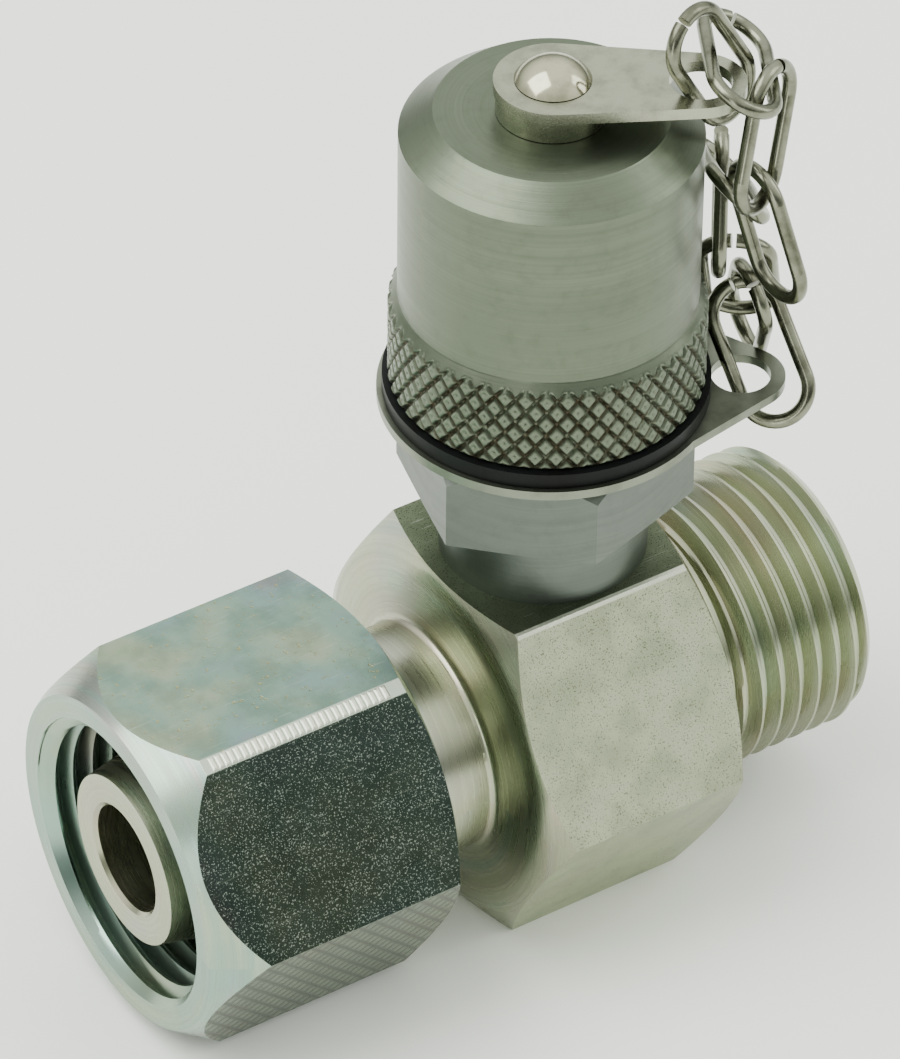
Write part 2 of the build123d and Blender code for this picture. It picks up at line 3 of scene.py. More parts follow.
import logging
import math
from dataclasses import dataclass
from enum import Enum
from typing import Callable, Optional, Sequence, Tuple, Union

import bmesh
import bpy
from mathutils import Matrix, Vector


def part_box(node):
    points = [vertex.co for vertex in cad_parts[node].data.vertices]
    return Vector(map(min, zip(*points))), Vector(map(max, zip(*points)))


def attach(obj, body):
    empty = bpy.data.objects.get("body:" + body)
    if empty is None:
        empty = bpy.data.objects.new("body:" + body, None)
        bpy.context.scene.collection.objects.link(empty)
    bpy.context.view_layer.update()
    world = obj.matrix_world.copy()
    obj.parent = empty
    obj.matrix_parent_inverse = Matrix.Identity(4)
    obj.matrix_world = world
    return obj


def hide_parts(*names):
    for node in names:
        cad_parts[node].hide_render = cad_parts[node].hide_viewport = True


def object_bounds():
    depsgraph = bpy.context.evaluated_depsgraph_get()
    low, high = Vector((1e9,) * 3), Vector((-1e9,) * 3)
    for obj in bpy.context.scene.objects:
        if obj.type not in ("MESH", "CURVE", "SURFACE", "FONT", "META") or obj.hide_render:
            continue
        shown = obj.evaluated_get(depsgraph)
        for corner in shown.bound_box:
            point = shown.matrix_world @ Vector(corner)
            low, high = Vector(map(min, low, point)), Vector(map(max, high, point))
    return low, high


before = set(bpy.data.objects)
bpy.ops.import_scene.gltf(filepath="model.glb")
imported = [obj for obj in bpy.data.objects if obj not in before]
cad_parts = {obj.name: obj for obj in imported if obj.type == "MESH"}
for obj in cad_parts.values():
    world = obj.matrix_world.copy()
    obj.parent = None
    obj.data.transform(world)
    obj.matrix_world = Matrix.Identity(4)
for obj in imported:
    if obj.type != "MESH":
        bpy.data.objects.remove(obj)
CAD_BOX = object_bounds()
LOG = logging.getLogger("test_point_coupling")

MM = 0.001
EDGE = 0.01  # mm: keeps a face that lies on a limit on its own side
END_FACE = 0.9  # share of a normal along the axis, from which a face is an end face
SEAM = 1e-7  # m: vertices nearer than this are one
BODY_FLAT = 13.0  # mm from the axis
NUT_FLAT = 12.0
KNURL_CLEAR = 5.8  # mm above the cap's foot: the painted shade in the grooves ends
Color = Tuple[float, float, float]
Value = Union[float, bpy.types.NodeSocket]


class Slot(Enum):
    """Material slots of the part."""

    ZINC = "zinc_plated_steel"
    PLATED = "plated_steel"
    SATIN = "satin_steel"
    NICKEL = "polished_nickel"
    SPRING = "spring_steel"
    CHAIN = "chain_wire"
    RUBBER = "black_rubber"


class Graph:
    """Small helper that adds nodes to a shader tree."""

    def __init__(self, tree: bpy.types.NodeTree) -> None:
        """Starts on a tree.

        Args:
            tree: the node tree that new nodes go into.
        """
        self.tree = tree

    def put(self, socket: bpy.types.NodeSocket, value: object) -> None:
        """Links or sets one input.

        Args:
            socket: the input.
            value: another socket, or a plain value.
        """
        if isinstance(value, bpy.types.NodeSocket):
            self.tree.links.new(value, socket)
        elif isinstance(value, tuple) and len(value) == 3 and socket.type == "RGBA":
            socket.default_value = (*value, 1.0)
        else:
            socket.default_value = value

    def add(self, kind: str, values: Sequence[object] = (), **settings: object) -> bpy.types.Node:
        """Adds a node.

        Args:
            kind: the node's type.
            values: values or sockets for its first inputs; None leaves one alone.
            settings: properties of the node.

        Returns:
            The new node.
        """
        node = self.tree.nodes.new(kind)
        for key, value in settings.items():
            setattr(node, key, value)
        for socket, value in zip(node.inputs, values):
            if value is not None:
                self.put(socket, value)
        return node

    def math(self, operation: str, first: Value, second: Value = 0.0,
             clamp: bool = False) -> bpy.types.NodeSocket:
        """Adds a Math node.

        Args:
            operation: its operation.
            first: first value.
            second: second value.
            clamp: keep the result between 0 and 1.

        Returns:
            Its result.
        """
        return self.add("ShaderNodeMath", (first, second), operation=operation,
                        use_clamp=clamp).outputs[0]

    def step(self, value: Value, low: float, high: float,
             smooth: bool = True) -> bpy.types.NodeSocket:
        """Maps low..high onto 0..1.

        Args:
            value: what is mapped.
            low: value that gives 0.
            high: value that gives 1.
            smooth: ease both ends.

        Returns:
            The mask.
        """
        kind = "SMOOTHSTEP" if smooth else "LINEAR"
        node = self.add("ShaderNodeMapRange", (value, low, high, 0.0, 1.0), interpolation_type=kind)
        return node.outputs[0]

    def band(self, value: Value, low: float, high: float, soft: float) -> bpy.types.NodeSocket:
        """Mask that is 1 between low and high.

        Args:
            value: what is tested.
            low: where the band starts.
            high: where the band ends.
            soft: width of both edges.

        Returns:
            The mask.
        """
        rise = self.step(value, low - soft, low)
        fall = self.step(value, high + soft, high)
        return self.math("MULTIPLY", rise, fall)

    def mix(self, mask: Value, first: object, second: object,
            blend: str = "MIX") -> bpy.types.NodeSocket:
        """Mixes two colours.

        Args:
            mask: 0 gives the first, 1 the second.
            first: colour.
            second: colour.
            blend: blend mode.

        Returns:
            The mixed colour.
        """
        node = self.add("ShaderNodeMix", data_type="RGBA", blend_type=blend)
        self.put(node.inputs[0], mask)
        self.put(node.inputs[6], first)
        self.put(node.inputs[7], second)
        return node.outputs[2]

    def blend(self, mask: Value, first: Value, second: Value) -> bpy.types.NodeSocket:
        """Mixes two numbers.

        Args:
            mask: 0 gives the first, 1 the second.
            first: number.
            second: number.

        Returns:
            The mixed number.
        """
        node = self.add("ShaderNodeMix", (mask, None, first, second), data_type="FLOAT")
        return node.outputs[0]

    def noise(self, vector: Value, scale: float, detail: float = 3.0,
              rough: float = 0.55) -> bpy.types.NodeSocket:
        """Adds a noise texture.

        Args:
            vector: where it is read.
            scale: its scale.
            detail: octaves.
            rough: share of the finer octaves.

        Returns:
            Its value.
        """
        return self.add("ShaderNodeTexNoise", (vector, None, scale, detail, rough)).outputs[0]

    def ramp(self, value: Value, stops: Sequence[Tuple[float, Color]]) -> bpy.types.NodeSocket:
        """Adds a colour ramp.

        Args:
            value: what it reads.
            stops: (place, colour) pairs.

        Returns:
            Its colour.
        """
        node = self.add("ShaderNodeValToRGB", (value,))
        ramp = node.color_ramp
        while len(ramp.elements) < len(stops):
            ramp.elements.new(1.0)
        for element, (place, color) in zip(ramp.elements, stops):
            element.position = place
            element.color = (*color, 1.0)
        return node.outputs[0]


def new_group(name: str, inputs: Sequence[Tuple[str, str, object]],
              outputs: Sequence[Tuple[str, str]]) -> Tuple[bpy.types.NodeTree, Graph, dict,
                                                           bpy.types.Node]:
    """Starts a shader node group.

    Args:
        name: the group's name.
        inputs: (name, socket type, default) for each input.
        outputs: (name, socket type) for each output.

    Returns:
        The tree, a Graph on it, its input sockets by name and its output node.
    """
    tree = bpy.data.node_groups.new(name, "ShaderNodeTree")
    for label, kind, default in inputs:
        socket = tree.interface.new_socket(name=label, in_out="INPUT", socket_type=kind)
        if default is not None:
            socket.default_value = default
    for label, kind in outputs:
        tree.interface.new_socket(name=label, in_out="OUTPUT", socket_type=kind)
    entry = tree.nodes.new("NodeGroupInput")
    exit_node = tree.nodes.new("NodeGroupOutput")
    return tree, Graph(tree), {s.name: s for s in entry.outputs}, exit_node


class Effects:
    """Shader node groups that several finishes share."""

    grain_share = 0.93
    patch_share = 0.07
    speck_level = 0.66
    speck_span = 0.2
    speck_contrast = 22.0

    def __init__(self) -> None:
        """Builds every group once."""
        self.turned = self._turned()
        self.film = self._film()
        self.specks = self._specks()
        self.tarnish = self._tarnish()

    @staticmethod
    def _turned() -> bpy.types.NodeTree:
        """Fine lines left by a turning tool.

        Returns:
            The group: Along is the distance across the lines, Around the angle.
        """
        tree, g, entry, out = new_group(
            "Turned lines",
            [("Along", "NodeSocketFloat", 0.0), ("Around", "NodeSocketFloat", 0.0),
             ("Pitch", "NodeSocketFloat", 0.12)],
            [("Lines", "NodeSocketFloat")])
        across = g.math("DIVIDE", entry["Along"], entry["Pitch"])
        fine = g.add("ShaderNodeCombineXYZ",
                     (across, g.math("MULTIPLY", entry["Around"], 0.35), 0.0)).outputs[0]
        coarse = g.add("ShaderNodeVectorMath", (fine, (0.17, 1.0, 1.0)),
                       operation="MULTIPLY").outputs[0]
        lines = g.math("ADD", g.math("MULTIPLY", g.noise(fine, 1.0, 2.0), 0.6),
                       g.math("MULTIPLY", g.noise(coarse, 1.0, 3.0), 0.4))
        g.put(out.inputs[0], g.step(lines, 0.3, 0.7, smooth=False))
        return tree

    @staticmethod
    def _film() -> bpy.types.NodeTree:
        """Iridescent chromate film.

        Returns:
            The group: a colour that wanders between yellow-green, teal and pink.
        """
        tree, g, entry, out = new_group(
            "Chromate film",
            [("Vector", "NodeSocketVector", None), ("Shift", "NodeSocketFloat", 0.0),
             ("Scale", "NodeSocketFloat", 0.12)],
            [("Color", "NodeSocketColor")])
        wide = g.add("ShaderNodeTexNoise",
                     (entry["Vector"], None, entry["Scale"], 2.0, 0.5)).outputs[0]
        small = g.noise(entry["Vector"], 0.9, 2.0)
        place = g.math("ADD",
                       g.math("ADD", g.math("MULTIPLY", wide, 1.5),
                              g.math("MULTIPLY", small, 0.16)), entry["Shift"])
        place = g.math("FRACT", place)
        color = g.ramp(place, [
            (0.0, (0.38, 0.41, 0.24)), (0.18, (0.42, 0.45, 0.32)), (0.34, (0.25, 0.38, 0.31)),
            (0.50, (0.24, 0.35, 0.36)), (0.64, (0.38, 0.29, 0.35)), (0.80, (0.44, 0.37, 0.26)),
            (1.0, (0.38, 0.41, 0.24))])
        g.put(out.inputs[0], color)
        return tree

    @staticmethod
    def _specks() -> bpy.types.NodeTree:
        """Small specks or pits.

        Returns:
            The group: Mask is 1 on a speck.
        """
        tree, g, entry, out = new_group(
            "Specks",
            [("Vector", "NodeSocketVector", None), ("Scale", "NodeSocketFloat", 3.0),
             ("Amount", "NodeSocketFloat", 0.3)],
            [("Mask", "NodeSocketFloat")])
        grain = g.add("ShaderNodeTexNoise",
                      (entry["Vector"], None, entry["Scale"], 2.0, 0.6)).outputs[0]
        patch = g.noise(entry["Vector"], 0.45, 2.0)
        level = g.math("ADD", g.math("MULTIPLY", grain, Effects.grain_share),
                       g.math("MULTIPLY", patch, Effects.patch_share))
        limit = g.math("SUBTRACT", Effects.speck_level,
                       g.math("MULTIPLY", entry["Amount"], Effects.speck_span))
        mask = g.math("MULTIPLY", g.math("SUBTRACT", level, limit),
                      Effects.speck_contrast, clamp=True)
        g.put(out.inputs[0], mask)
        return tree

    @staticmethod
    def _tarnish() -> bpy.types.NodeTree:
        """Soft uneven darkening.

        Returns:
            The group: Color is the given colour, darkened in places.
        """
        tree, g, entry, out = new_group(
            "Tarnish",
            [("Vector", "NodeSocketVector", None), ("Color", "NodeSocketColor", None),
             ("Dark", "NodeSocketColor", None), ("Scale", "NodeSocketFloat", 0.4)],
            [("Color", "NodeSocketColor")])
        cloud = g.add("ShaderNodeTexNoise",
                      (entry["Vector"], None, entry["Scale"], 4.0, 0.6)).outputs[0]
        mask = g.step(cloud, 0.42, 0.72)
        g.put(out.inputs[0], g.mix(mask, entry["Color"], entry["Dark"]))
        return tree


class Surface:
    """One material under construction, with the coordinates that the finishes read."""

    def __init__(self, name: str, effects: Effects) -> None:
        """Starts a material.

        Args:
            name: the material's name.
            effects: the shared node groups.
        """
        self.effects = effects
        self.material = bpy.data.materials.new(name)
        self.material.use_nodes = True
        tree = self.material.node_tree
        tree.nodes.clear()
        self.graph = Graph(tree)
        self.shader = self.graph.add("ShaderNodeBsdfPrincipled")
        output = self.graph.add("ShaderNodeOutputMaterial")
        tree.links.new(self.shader.outputs[0], output.inputs[0])
        place = self.graph.add("ShaderNodeTexCoord")
        scaled = self.graph.add("ShaderNodeVectorMath", (place.outputs["Object"],),
                                operation="SCALE")
        scaled.inputs["Scale"].default_value = 1000.0
        self.position = scaled.outputs[0]
        self.normal = place.outputs["Normal"]
        self.x, self.y, self.z = self.graph.add("ShaderNodeSeparateXYZ", (self.position,)).outputs
        self.nx, self.ny, self.nz = self.graph.add("ShaderNodeSeparateXYZ", (self.normal,)).outputs

    def radius_x(self) -> bpy.types.NodeSocket:
        """Distance from the X axis, in millimetres."""
        g = self.graph
        return g.math("SQRT",
                      g.math("ADD", g.math("POWER", self.y, 2.0), g.math("POWER", self.z, 2.0)))

    def radius_z(self) -> bpy.types.NodeSocket:
        """Distance from the Z axis, in millimetres."""
        g = self.graph
        return g.math("SQRT",
                      g.math("ADD", g.math("POWER", self.x, 2.0), g.math("POWER", self.y, 2.0)))

    def facing(self, direction: Color, sharp: float = 0.06) -> bpy.types.NodeSocket:
        """Mask of the faces that look along a direction.

        Args:
            direction: unit direction.
            sharp: how far from it, as one minus the cosine, the mask falls to 0.

        Returns:
            The mask.
        """
        g = self.graph
        dot = g.add("ShaderNodeVectorMath", (self.normal, direction),
                    operation="DOT_PRODUCT").outputs["Value"]
        return g.step(dot, 1.0 - sharp, 1.0 - sharp * 0.4)

    def group(self, tree: bpy.types.NodeTree, **values: object) -> bpy.types.NodeSocket:
        """Places a shared group.

        Args:
            tree: the group.
            values: its inputs by name.

        Returns:
            Its first output.
        """
        node = self.graph.add("ShaderNodeGroup", node_tree=tree)
        for key, value in values.items():
            self.graph.put(node.inputs[key], value)
        return node.outputs[0]

    def set(self, **values: object) -> None:
        """Sets inputs of the shader; an underscore stands for a space.

        Args:
            values: input names and values.
        """
        for key, value in values.items():
            self.graph.put(self.shader.inputs[key.replace("_", " ")], value)

    def bump(self, height: Value, depth: float, strength: float = 1.0) -> None:
        """Adds relief.

        Args:
            height: height from 0 to 1.
            depth: its depth in millimetres.
            strength: share of it that shows.
        """
        node = self.graph.add("ShaderNodeBump")
        node.inputs["Distance"].default_value = depth * MM
        node.inputs["Strength"].default_value = strength
        self.graph.put(node.inputs["Height"], height)
        self.graph.put(self.shader.inputs["Normal"], node.outputs[0])


@dataclass(frozen=True)
class PlainFinish:
    """A metal or rubber with lines or clouds over one colour."""

    name: str
    color: Color
    dark: Color
    metallic: float
    roughness: float
    spread: float = 0.08
    cloud: float = 0.4
    relief: float = 0.004
    grain: float = 6.0
    specular: float = 0.5

    def make(self, effects: Effects) -> bpy.types.Material:
        """Builds the material.

        Args:
            effects: the shared node groups.

        Returns:
            The material.
        """
        s = Surface(self.name, effects)
        g = s.graph
        color = s.group(effects.tarnish, Vector=s.position, Color=self.color, Dark=self.dark,
                        Scale=self.cloud)
        fine = g.noise(s.position, self.grain, 3.0)
        s.set(Base_Color=color, Metallic=self.metallic,
              Roughness=g.math("ADD", self.roughness - self.spread / 2,
                               g.math("MULTIPLY", fine, self.spread)))
        s.set(Specular_IOR_Level=self.specular)
        s.bump(fine, self.relief)
        return s.material


@dataclass(frozen=True)
class TurnedFinish:
    """Satin steel turned about Z, with optional painted shade that darkens the knurl's grooves."""

    name: str
    color: Color
    dark: Color
    roughness: float
    groove_shade: Optional[Color] = None
    groove_low: float = 0.0
    groove_high: float = 0.0
    knurl_floor: float = 0.0
    knurl_top: float = 0.0
    pitch: float = 0.16
    shade_low: float = 0.0
    shade_high: float = 0.0
    shade: Optional[Color] = None

    def make(self, effects: Effects) -> bpy.types.Material:
        """Builds the material.

        Args:
            effects: the shared node groups.

        Returns:
            The material.
        """
        s = Surface(self.name, effects)
        g = s.graph
        radius = s.radius_z()
        angle = g.math("ARCTAN2", s.y, s.x)
        along = g.math("SUBTRACT", s.z, radius)
        lines = s.group(effects.turned, Along=along, Around=angle, Pitch=self.pitch)
        steps = s.group(effects.turned, Along=along, Around=angle, Pitch=self.pitch * 4.5)
        stains = g.step(g.noise(s.position, 0.8, 5.0, 0.7), 0.45, 0.75)
        color = g.mix(g.math("MULTIPLY", lines, 0.35), self.color, self.dark)
        color = g.mix(g.math("MULTIPLY", steps, 0.3), color, self.dark)
        color = g.mix(g.math("MULTIPLY", stains, 0.3), color, self.dark)
        rough = g.math("ADD", self.roughness - 0.05, g.math("MULTIPLY", lines, 0.12))
        if self.shade is not None:
            fade = g.step(s.z, self.shade_high, self.shade_low)
            color = g.mix(g.math("MULTIPLY", fade, 0.8), color, self.shade)
        # Painted shade: a darker colour, broken up by noise, fills the knurl's grooves to stand in
        # for the shade in these recesses.
        if self.groove_shade is not None:
            zone = g.band(s.z, self.groove_low, self.groove_high, 0.1)
            depth = g.step(radius, self.knurl_top, self.knurl_floor)
            groove_shade_breakup = g.noise(s.position, 1.1, 3.0)
            mask = g.math("MULTIPLY", zone, g.math("MULTIPLY", depth, g.step(groove_shade_breakup, 0.25, 0.6)))
            color = g.mix(mask, color, self.groove_shade)
            rough = g.blend(mask, rough, 0.55)
        s.set(Base_Color=color, Metallic=1.0, Roughness=rough)
        s.bump(g.math("ADD", g.math("MULTIPLY", lines, 0.4), g.math("MULTIPLY", steps, 0.6)), 0.012)
        return s.material


@dataclass(frozen=True)
class Flat:
    """Look of one flat of a hexagon about X."""

    degrees: float
    color: Color
    speck: Color
    amount: float
    roughness: float = 0.3
    film: float = 0.35
    grain: float = 9.0
    # strength of the painted shade in the grooves of a rolled pattern; 0 leaves the pattern out
    dimples: float = 0.0


@dataclass(frozen=True)
class ZincFinish:
    """Zinc plate with a chromate film, over forged flats and turned faces about X, with a painted
    highlight line along one corner.
    """

    name: str
    axis_low: float
    axis_high: float
    flats: Tuple[Flat, ...]
    film_shift: float = 0.0
    turned_roughness: float = 0.22
    turned_tint: Color = (0.56, 0.58, 0.36)
    flat_radius: float = 0.0
    # angle of the corner that gets the painted highlight line, and the line's width
    corner: float = 120.0
    corner_highlight_width: float = 0.3

    def _dimples(self, s: Surface) -> bpy.types.NodeSocket:
        """Crossed grooves of a rolled pattern, from 0 in a groove to 1."""
        g = s.graph
        across = g.math("SUBTRACT", s.z, s.y)
        walls = []
        for way in (1.0, -1.0):
            run = g.math("ADD", g.math("MULTIPLY", s.x, 0.85),
                         g.math("MULTIPLY", across, 0.42 * way))
            walls.append(g.math("ABSOLUTE", g.math("SUBTRACT", g.math("FRACT", run), 0.5)))
        return g.step(g.math("MINIMUM", walls[0], walls[1]), 0.0, 0.32)

    def make(self, effects: Effects) -> bpy.types.Material:
        """Builds the material.

        Args:
            effects: the shared node groups.

        Returns:
            The material.
        """
        s = Surface(self.name, effects)
        g = s.graph
        radius = s.radius_x()
        angle = g.math("ARCTAN2", s.z, s.y)
        along = g.math("ADD", s.x, g.math("MULTIPLY", radius, 0.8))
        lines = s.group(effects.turned, Along=along, Around=angle, Pitch=0.2)
        film = s.group(effects.film, Vector=s.position, Shift=self.film_shift, Scale=0.10)
        ring_place = g.add("ShaderNodeCombineXYZ",
                           (g.math("MULTIPLY", along, 0.55), 0.0, g.math("MULTIPLY", angle, 0.5)))
        ring_film = s.group(effects.film, Vector=ring_place.outputs[0],
                            Shift=self.film_shift + 0.15, Scale=0.8)
        turned_color = g.mix(0.6, film, ring_film)
        turned_color = g.mix(0.35, turned_color, self.turned_tint)
        turned_color = g.mix(g.math("MULTIPLY", lines, 0.35), turned_color, (0.17, 0.19, 0.14))
        flat_film = s.group(effects.film, Vector=s.position, Shift=self.film_shift + 0.1,
                            Scale=0.12)
        color = turned_color
        rough = g.math("ADD", self.turned_roughness, g.math("MULTIPLY", lines, 0.12))
        height = g.math("MULTIPLY", lines, 0.25)
        block = g.band(s.x, self.axis_low, self.axis_high, 0.05)
        fine = g.noise(s.position, 9.0, 4.0, 0.65)
        cloud = g.step(g.noise(s.position, 0.35, 4.0, 0.6), 0.38, 0.66)
        scratch_place = g.add("ShaderNodeMapping",
                              (s.position, None, (0.3, 0.2, 0.9), (0.4, 9.0, 9.0))).outputs[0]
        scratch = g.step(g.noise(scratch_place, 0.8, 2.0), 0.64, 0.72)
        dimples = self._dimples(s)
        for flat in self.flats:
            turn = math.radians(flat.degrees)
            face = s.facing((0.0, math.cos(turn), math.sin(turn)))
            face = g.math("MULTIPLY", face, block)
            face = g.math("MULTIPLY", face,
                          g.step(radius, self.flat_radius - 0.6, self.flat_radius - 0.4))
            specks = s.group(effects.specks, Vector=s.position, Scale=flat.grain,
                             Amount=flat.amount)
            tint = g.mix(flat.film, flat.color, g.mix(1.0, flat_film, flat.color, blend="OVERLAY"))
            tint = g.mix(g.math("MULTIPLY", cloud, 0.5), tint,
                         g.mix(1.0, tint, (0.52, 0.56, 0.52), blend="MULTIPLY"))
            tint = g.mix(g.math("MULTIPLY", specks, 0.8), tint, flat.speck)
            tint = g.mix(g.math("MULTIPLY", scratch, 0.2), tint, (0.6, 0.64, 0.55))
            relief = g.math("SUBTRACT", 1.0,
                            g.math("ADD", g.math("MULTIPLY", specks, 0.6),
                                   g.math("MULTIPLY", fine, 0.4)))
            # Painted shade: the rolled pattern's grooves are darkened to stand in for the shade in
            # them; their relief is bumped in below.
            if flat.dimples:
                tint = g.mix(g.math("MULTIPLY", g.math("SUBTRACT", 1.0, dimples), flat.dimples),
                             tint, (0.05, 0.055, 0.04))
                relief = g.blend(0.75, relief, dimples)
            color = g.mix(face, color, tint)
            rough = g.blend(face, rough,
                            g.math("ADD", flat.roughness, g.math("MULTIPLY", specks, 0.2)))
            height = g.blend(face, height, relief)
        # Painted highlight: a bright line along the corner at this angle stands in for the light
        # that the rounded corner catches.
        turn = math.radians(self.corner)
        away = g.math("ADD", g.math("MULTIPLY", s.y, math.cos(turn)),
                      g.math("MULTIPLY", s.z, math.sin(turn)))
        reach = self.flat_radius / math.cos(math.radians(30.0))
        edge = g.math("MULTIPLY", block,
                      g.step(away, reach - self.corner_highlight_width, reach - self.corner_highlight_width * 0.7))
        color = g.mix(edge, color, (0.78, 0.82, 0.68))
        s.set(Base_Color=color, Metallic=1.0, Roughness=rough)
        s.bump(height, 0.02)
        return s.material


def shade_smooth(mesh: bpy.types.Mesh, degrees: float = 30.0) -> None:
    """Shades a mesh smooth between its sharp edges.

    Args:
        mesh: the mesh.
        degrees: edges sharper than this stay crisp.
    """
    mesh.polygons.foreach_set("use_smooth", [True] * len(mesh.polygons))
    bm = bmesh.new()
    bm.from_mesh(mesh)
    limit = math.radians(degrees)
    for edge in bm.edges:
        edge.smooth = len(edge.link_faces) == 2 and edge.calc_face_angle(0.0) < limit
    bm.to_mesh(mesh)
    bm.free()


def mesh_object(name: str, vertices: Sequence[Vector],
                faces: Sequence[Sequence[int]]) -> bpy.types.Object:
    """Makes an object from points and faces.

    Args:
        name: its name.
        vertices: points in metres.
        faces: point indices of each face.

    Returns:
        The object, linked to the scene.
    """
    mesh = bpy.data.meshes.new(name)
    mesh.from_pydata([tuple(v) for v in vertices], [], [tuple(f) for f in faces])
    mesh.validate()
    obj = bpy.data.objects.new(name, mesh)
    bpy.context.scene.collection.objects.link(obj)
    return obj


def copy_without(node: str, name: str, drop: Callable[[Vector, Vector], bool]) -> bpy.types.Object:
    """Copies a CAD node's mesh and leaves some faces out.

    Args:
        node: the CAD node.
        name: the new object's name.
        drop: says from a face's centre (mm) and normal whether it goes.

    Returns:
        The copy.
    """
    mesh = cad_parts[node].data.copy()
    mesh.name = name
    bm = bmesh.new()
    bm.from_mesh(mesh)
    bmesh.ops.remove_doubles(bm, verts=bm.verts, dist=SEAM)
    gone = [f for f in bm.faces if drop(f.calc_center_median() / MM, f.normal)]
    bmesh.ops.delete(bm, geom=gone, context="FACES")
    bm.to_mesh(mesh)
    bm.free()
    obj = bpy.data.objects.new(name, mesh)
    bpy.context.scene.collection.objects.link(obj)
    return obj


@dataclass(frozen=True)
class HelicalThread:
    """Surface of a metric thread about the X axis, in millimetres."""

    start: float
    end: float
    crest: float
    root: float
    pitch: float
    inside: bool = False
    sides: int = 144

    def profile(self, share: float) -> float:
        """Radius at a share of one pitch.

        Args:
            share: 0 to 1 along the pitch.

        Returns:
            The radius.
        """
        flat = 0.0625
        flank = 0.36
        t = abs(share - 0.5)
        if t < flat:
            return self.crest
        if t > flat + flank:
            return self.root
        return self.crest + (self.root - self.crest) * (t - flat) / flank

    def build(self, limit: Callable[[float], float]) -> Tuple[list, list]:
        """Builds the grid.

        Args:
            limit: radius of the turned form that the thread is cut into, at x.

        Returns:
            Vertices in metres and faces.
        """
        shares = (0.0, 0.0775, 0.20, 0.32, 0.4375, 0.5625, 0.68, 0.80, 0.9225)
        turns = int((self.end - self.start) / self.pitch) + 3
        stations = [self.pitch * (turn + share) for turn in range(-1, turns) for share in shares]
        choose = max if self.inside else min
        vertices = []
        for side in range(self.sides + 1):
            angle = 2 * math.pi * side / self.sides
            for station in stations:
                free = self.start - self.pitch + station + self.pitch * side / self.sides
                x = min(max(free, self.start), self.end)
                share = ((x - self.start) / self.pitch - side / self.sides) % 1.0
                radius = choose(self.profile(share), limit(x))
                vertices.append(Vector((x, radius * math.cos(angle),
                                        radius * math.sin(angle))) * MM)
        row = len(stations)
        faces = []
        for side in range(self.sides):
            for step in range(row - 1):
                a = side * row + step
                quad = (a, a + 1, a + row + 1, a + row)
                near = (vertices[a] - vertices[a + 1]).length
                far = (vertices[a + row] - vertices[a + row + 1]).length
                if near + far < SEAM:
                    continue
                faces.append(quad if self.inside else quad[::-1])
        return vertices, faces


def weld(obj: bpy.types.Object, distance: float = 2e-6) -> None:
    """Joins points that lie on each other and drops faces with no area.

    Args:
        obj: the object.
        distance: how near two points are joined, in metres.
    """
    bm = bmesh.new()
    bm.from_mesh(obj.data)
    bmesh.ops.remove_doubles(bm, verts=bm.verts, dist=distance)
    bmesh.ops.dissolve_degenerate(bm, edges=bm.edges, dist=SEAM)
    bm.to_mesh(obj.data)
    bm.free()


def join(target: bpy.types.Object, extra: bpy.types.Object) -> None:
    """Adds one object's mesh to another and removes it.

    Args:
        target: the object that stays.
        extra: the object that goes.
    """
    bm = bmesh.new()
    bm.from_mesh(target.data)
    bm.from_mesh(extra.data)
    bm.to_mesh(target.data)
    bm.free()
    bpy.data.objects.remove(extra)


def dress(obj: bpy.types.Object, material: bpy.types.Material) -> None:
    """Gives an object its material and reports it.

    Args:
        obj: the object.
        material: its material.
    """
    obj.data.materials.clear()
    obj.data.materials.append(material)
    LOG.info("dressed %s in %s", obj.name, material.name)


@dataclass
class Fitting:
    """Body with the thread on its male stud."""

    stud_radius: float = 9.9
    stud_root: float = 9.0
    stud_chamfer: float = 0.95
    relief_radius: float = 8.75
    thread_from: float = 9.85
    pitch: float = 1.5

    def build(self) -> bpy.types.Object:
        """Copies the body and cuts the stud's thread.

        Returns:
            The threaded body.
        """
        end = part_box("body")[1].x / MM

        def is_stud(centre: Vector, normal: Vector) -> bool:
            """Faces of the plain stud between its relief and its end face."""
            radius = math.hypot(centre.y, centre.z)
            past_relief = centre.x > self.thread_from and radius > self.relief_radius + 2 * EDGE
            return past_relief and normal.x < END_FACE

        def turned(x: float) -> float:
            """Radius of the stud before threading."""
            lead = self.relief_radius + (x - self.thread_from) * 2
            return min(lead, self.stud_radius, self.stud_radius - self.stud_chamfer + end - x)

        body = copy_without("body", "body_threaded", is_stud)
        thread = HelicalThread(self.thread_from, end, self.stud_radius, self.stud_root, self.pitch)
        skin = mesh_object("stud_thread", *thread.build(turned))
        weld(skin)
        join(body, skin)
        shade_smooth(body.data)
        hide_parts("body")
        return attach(body, "fitting")


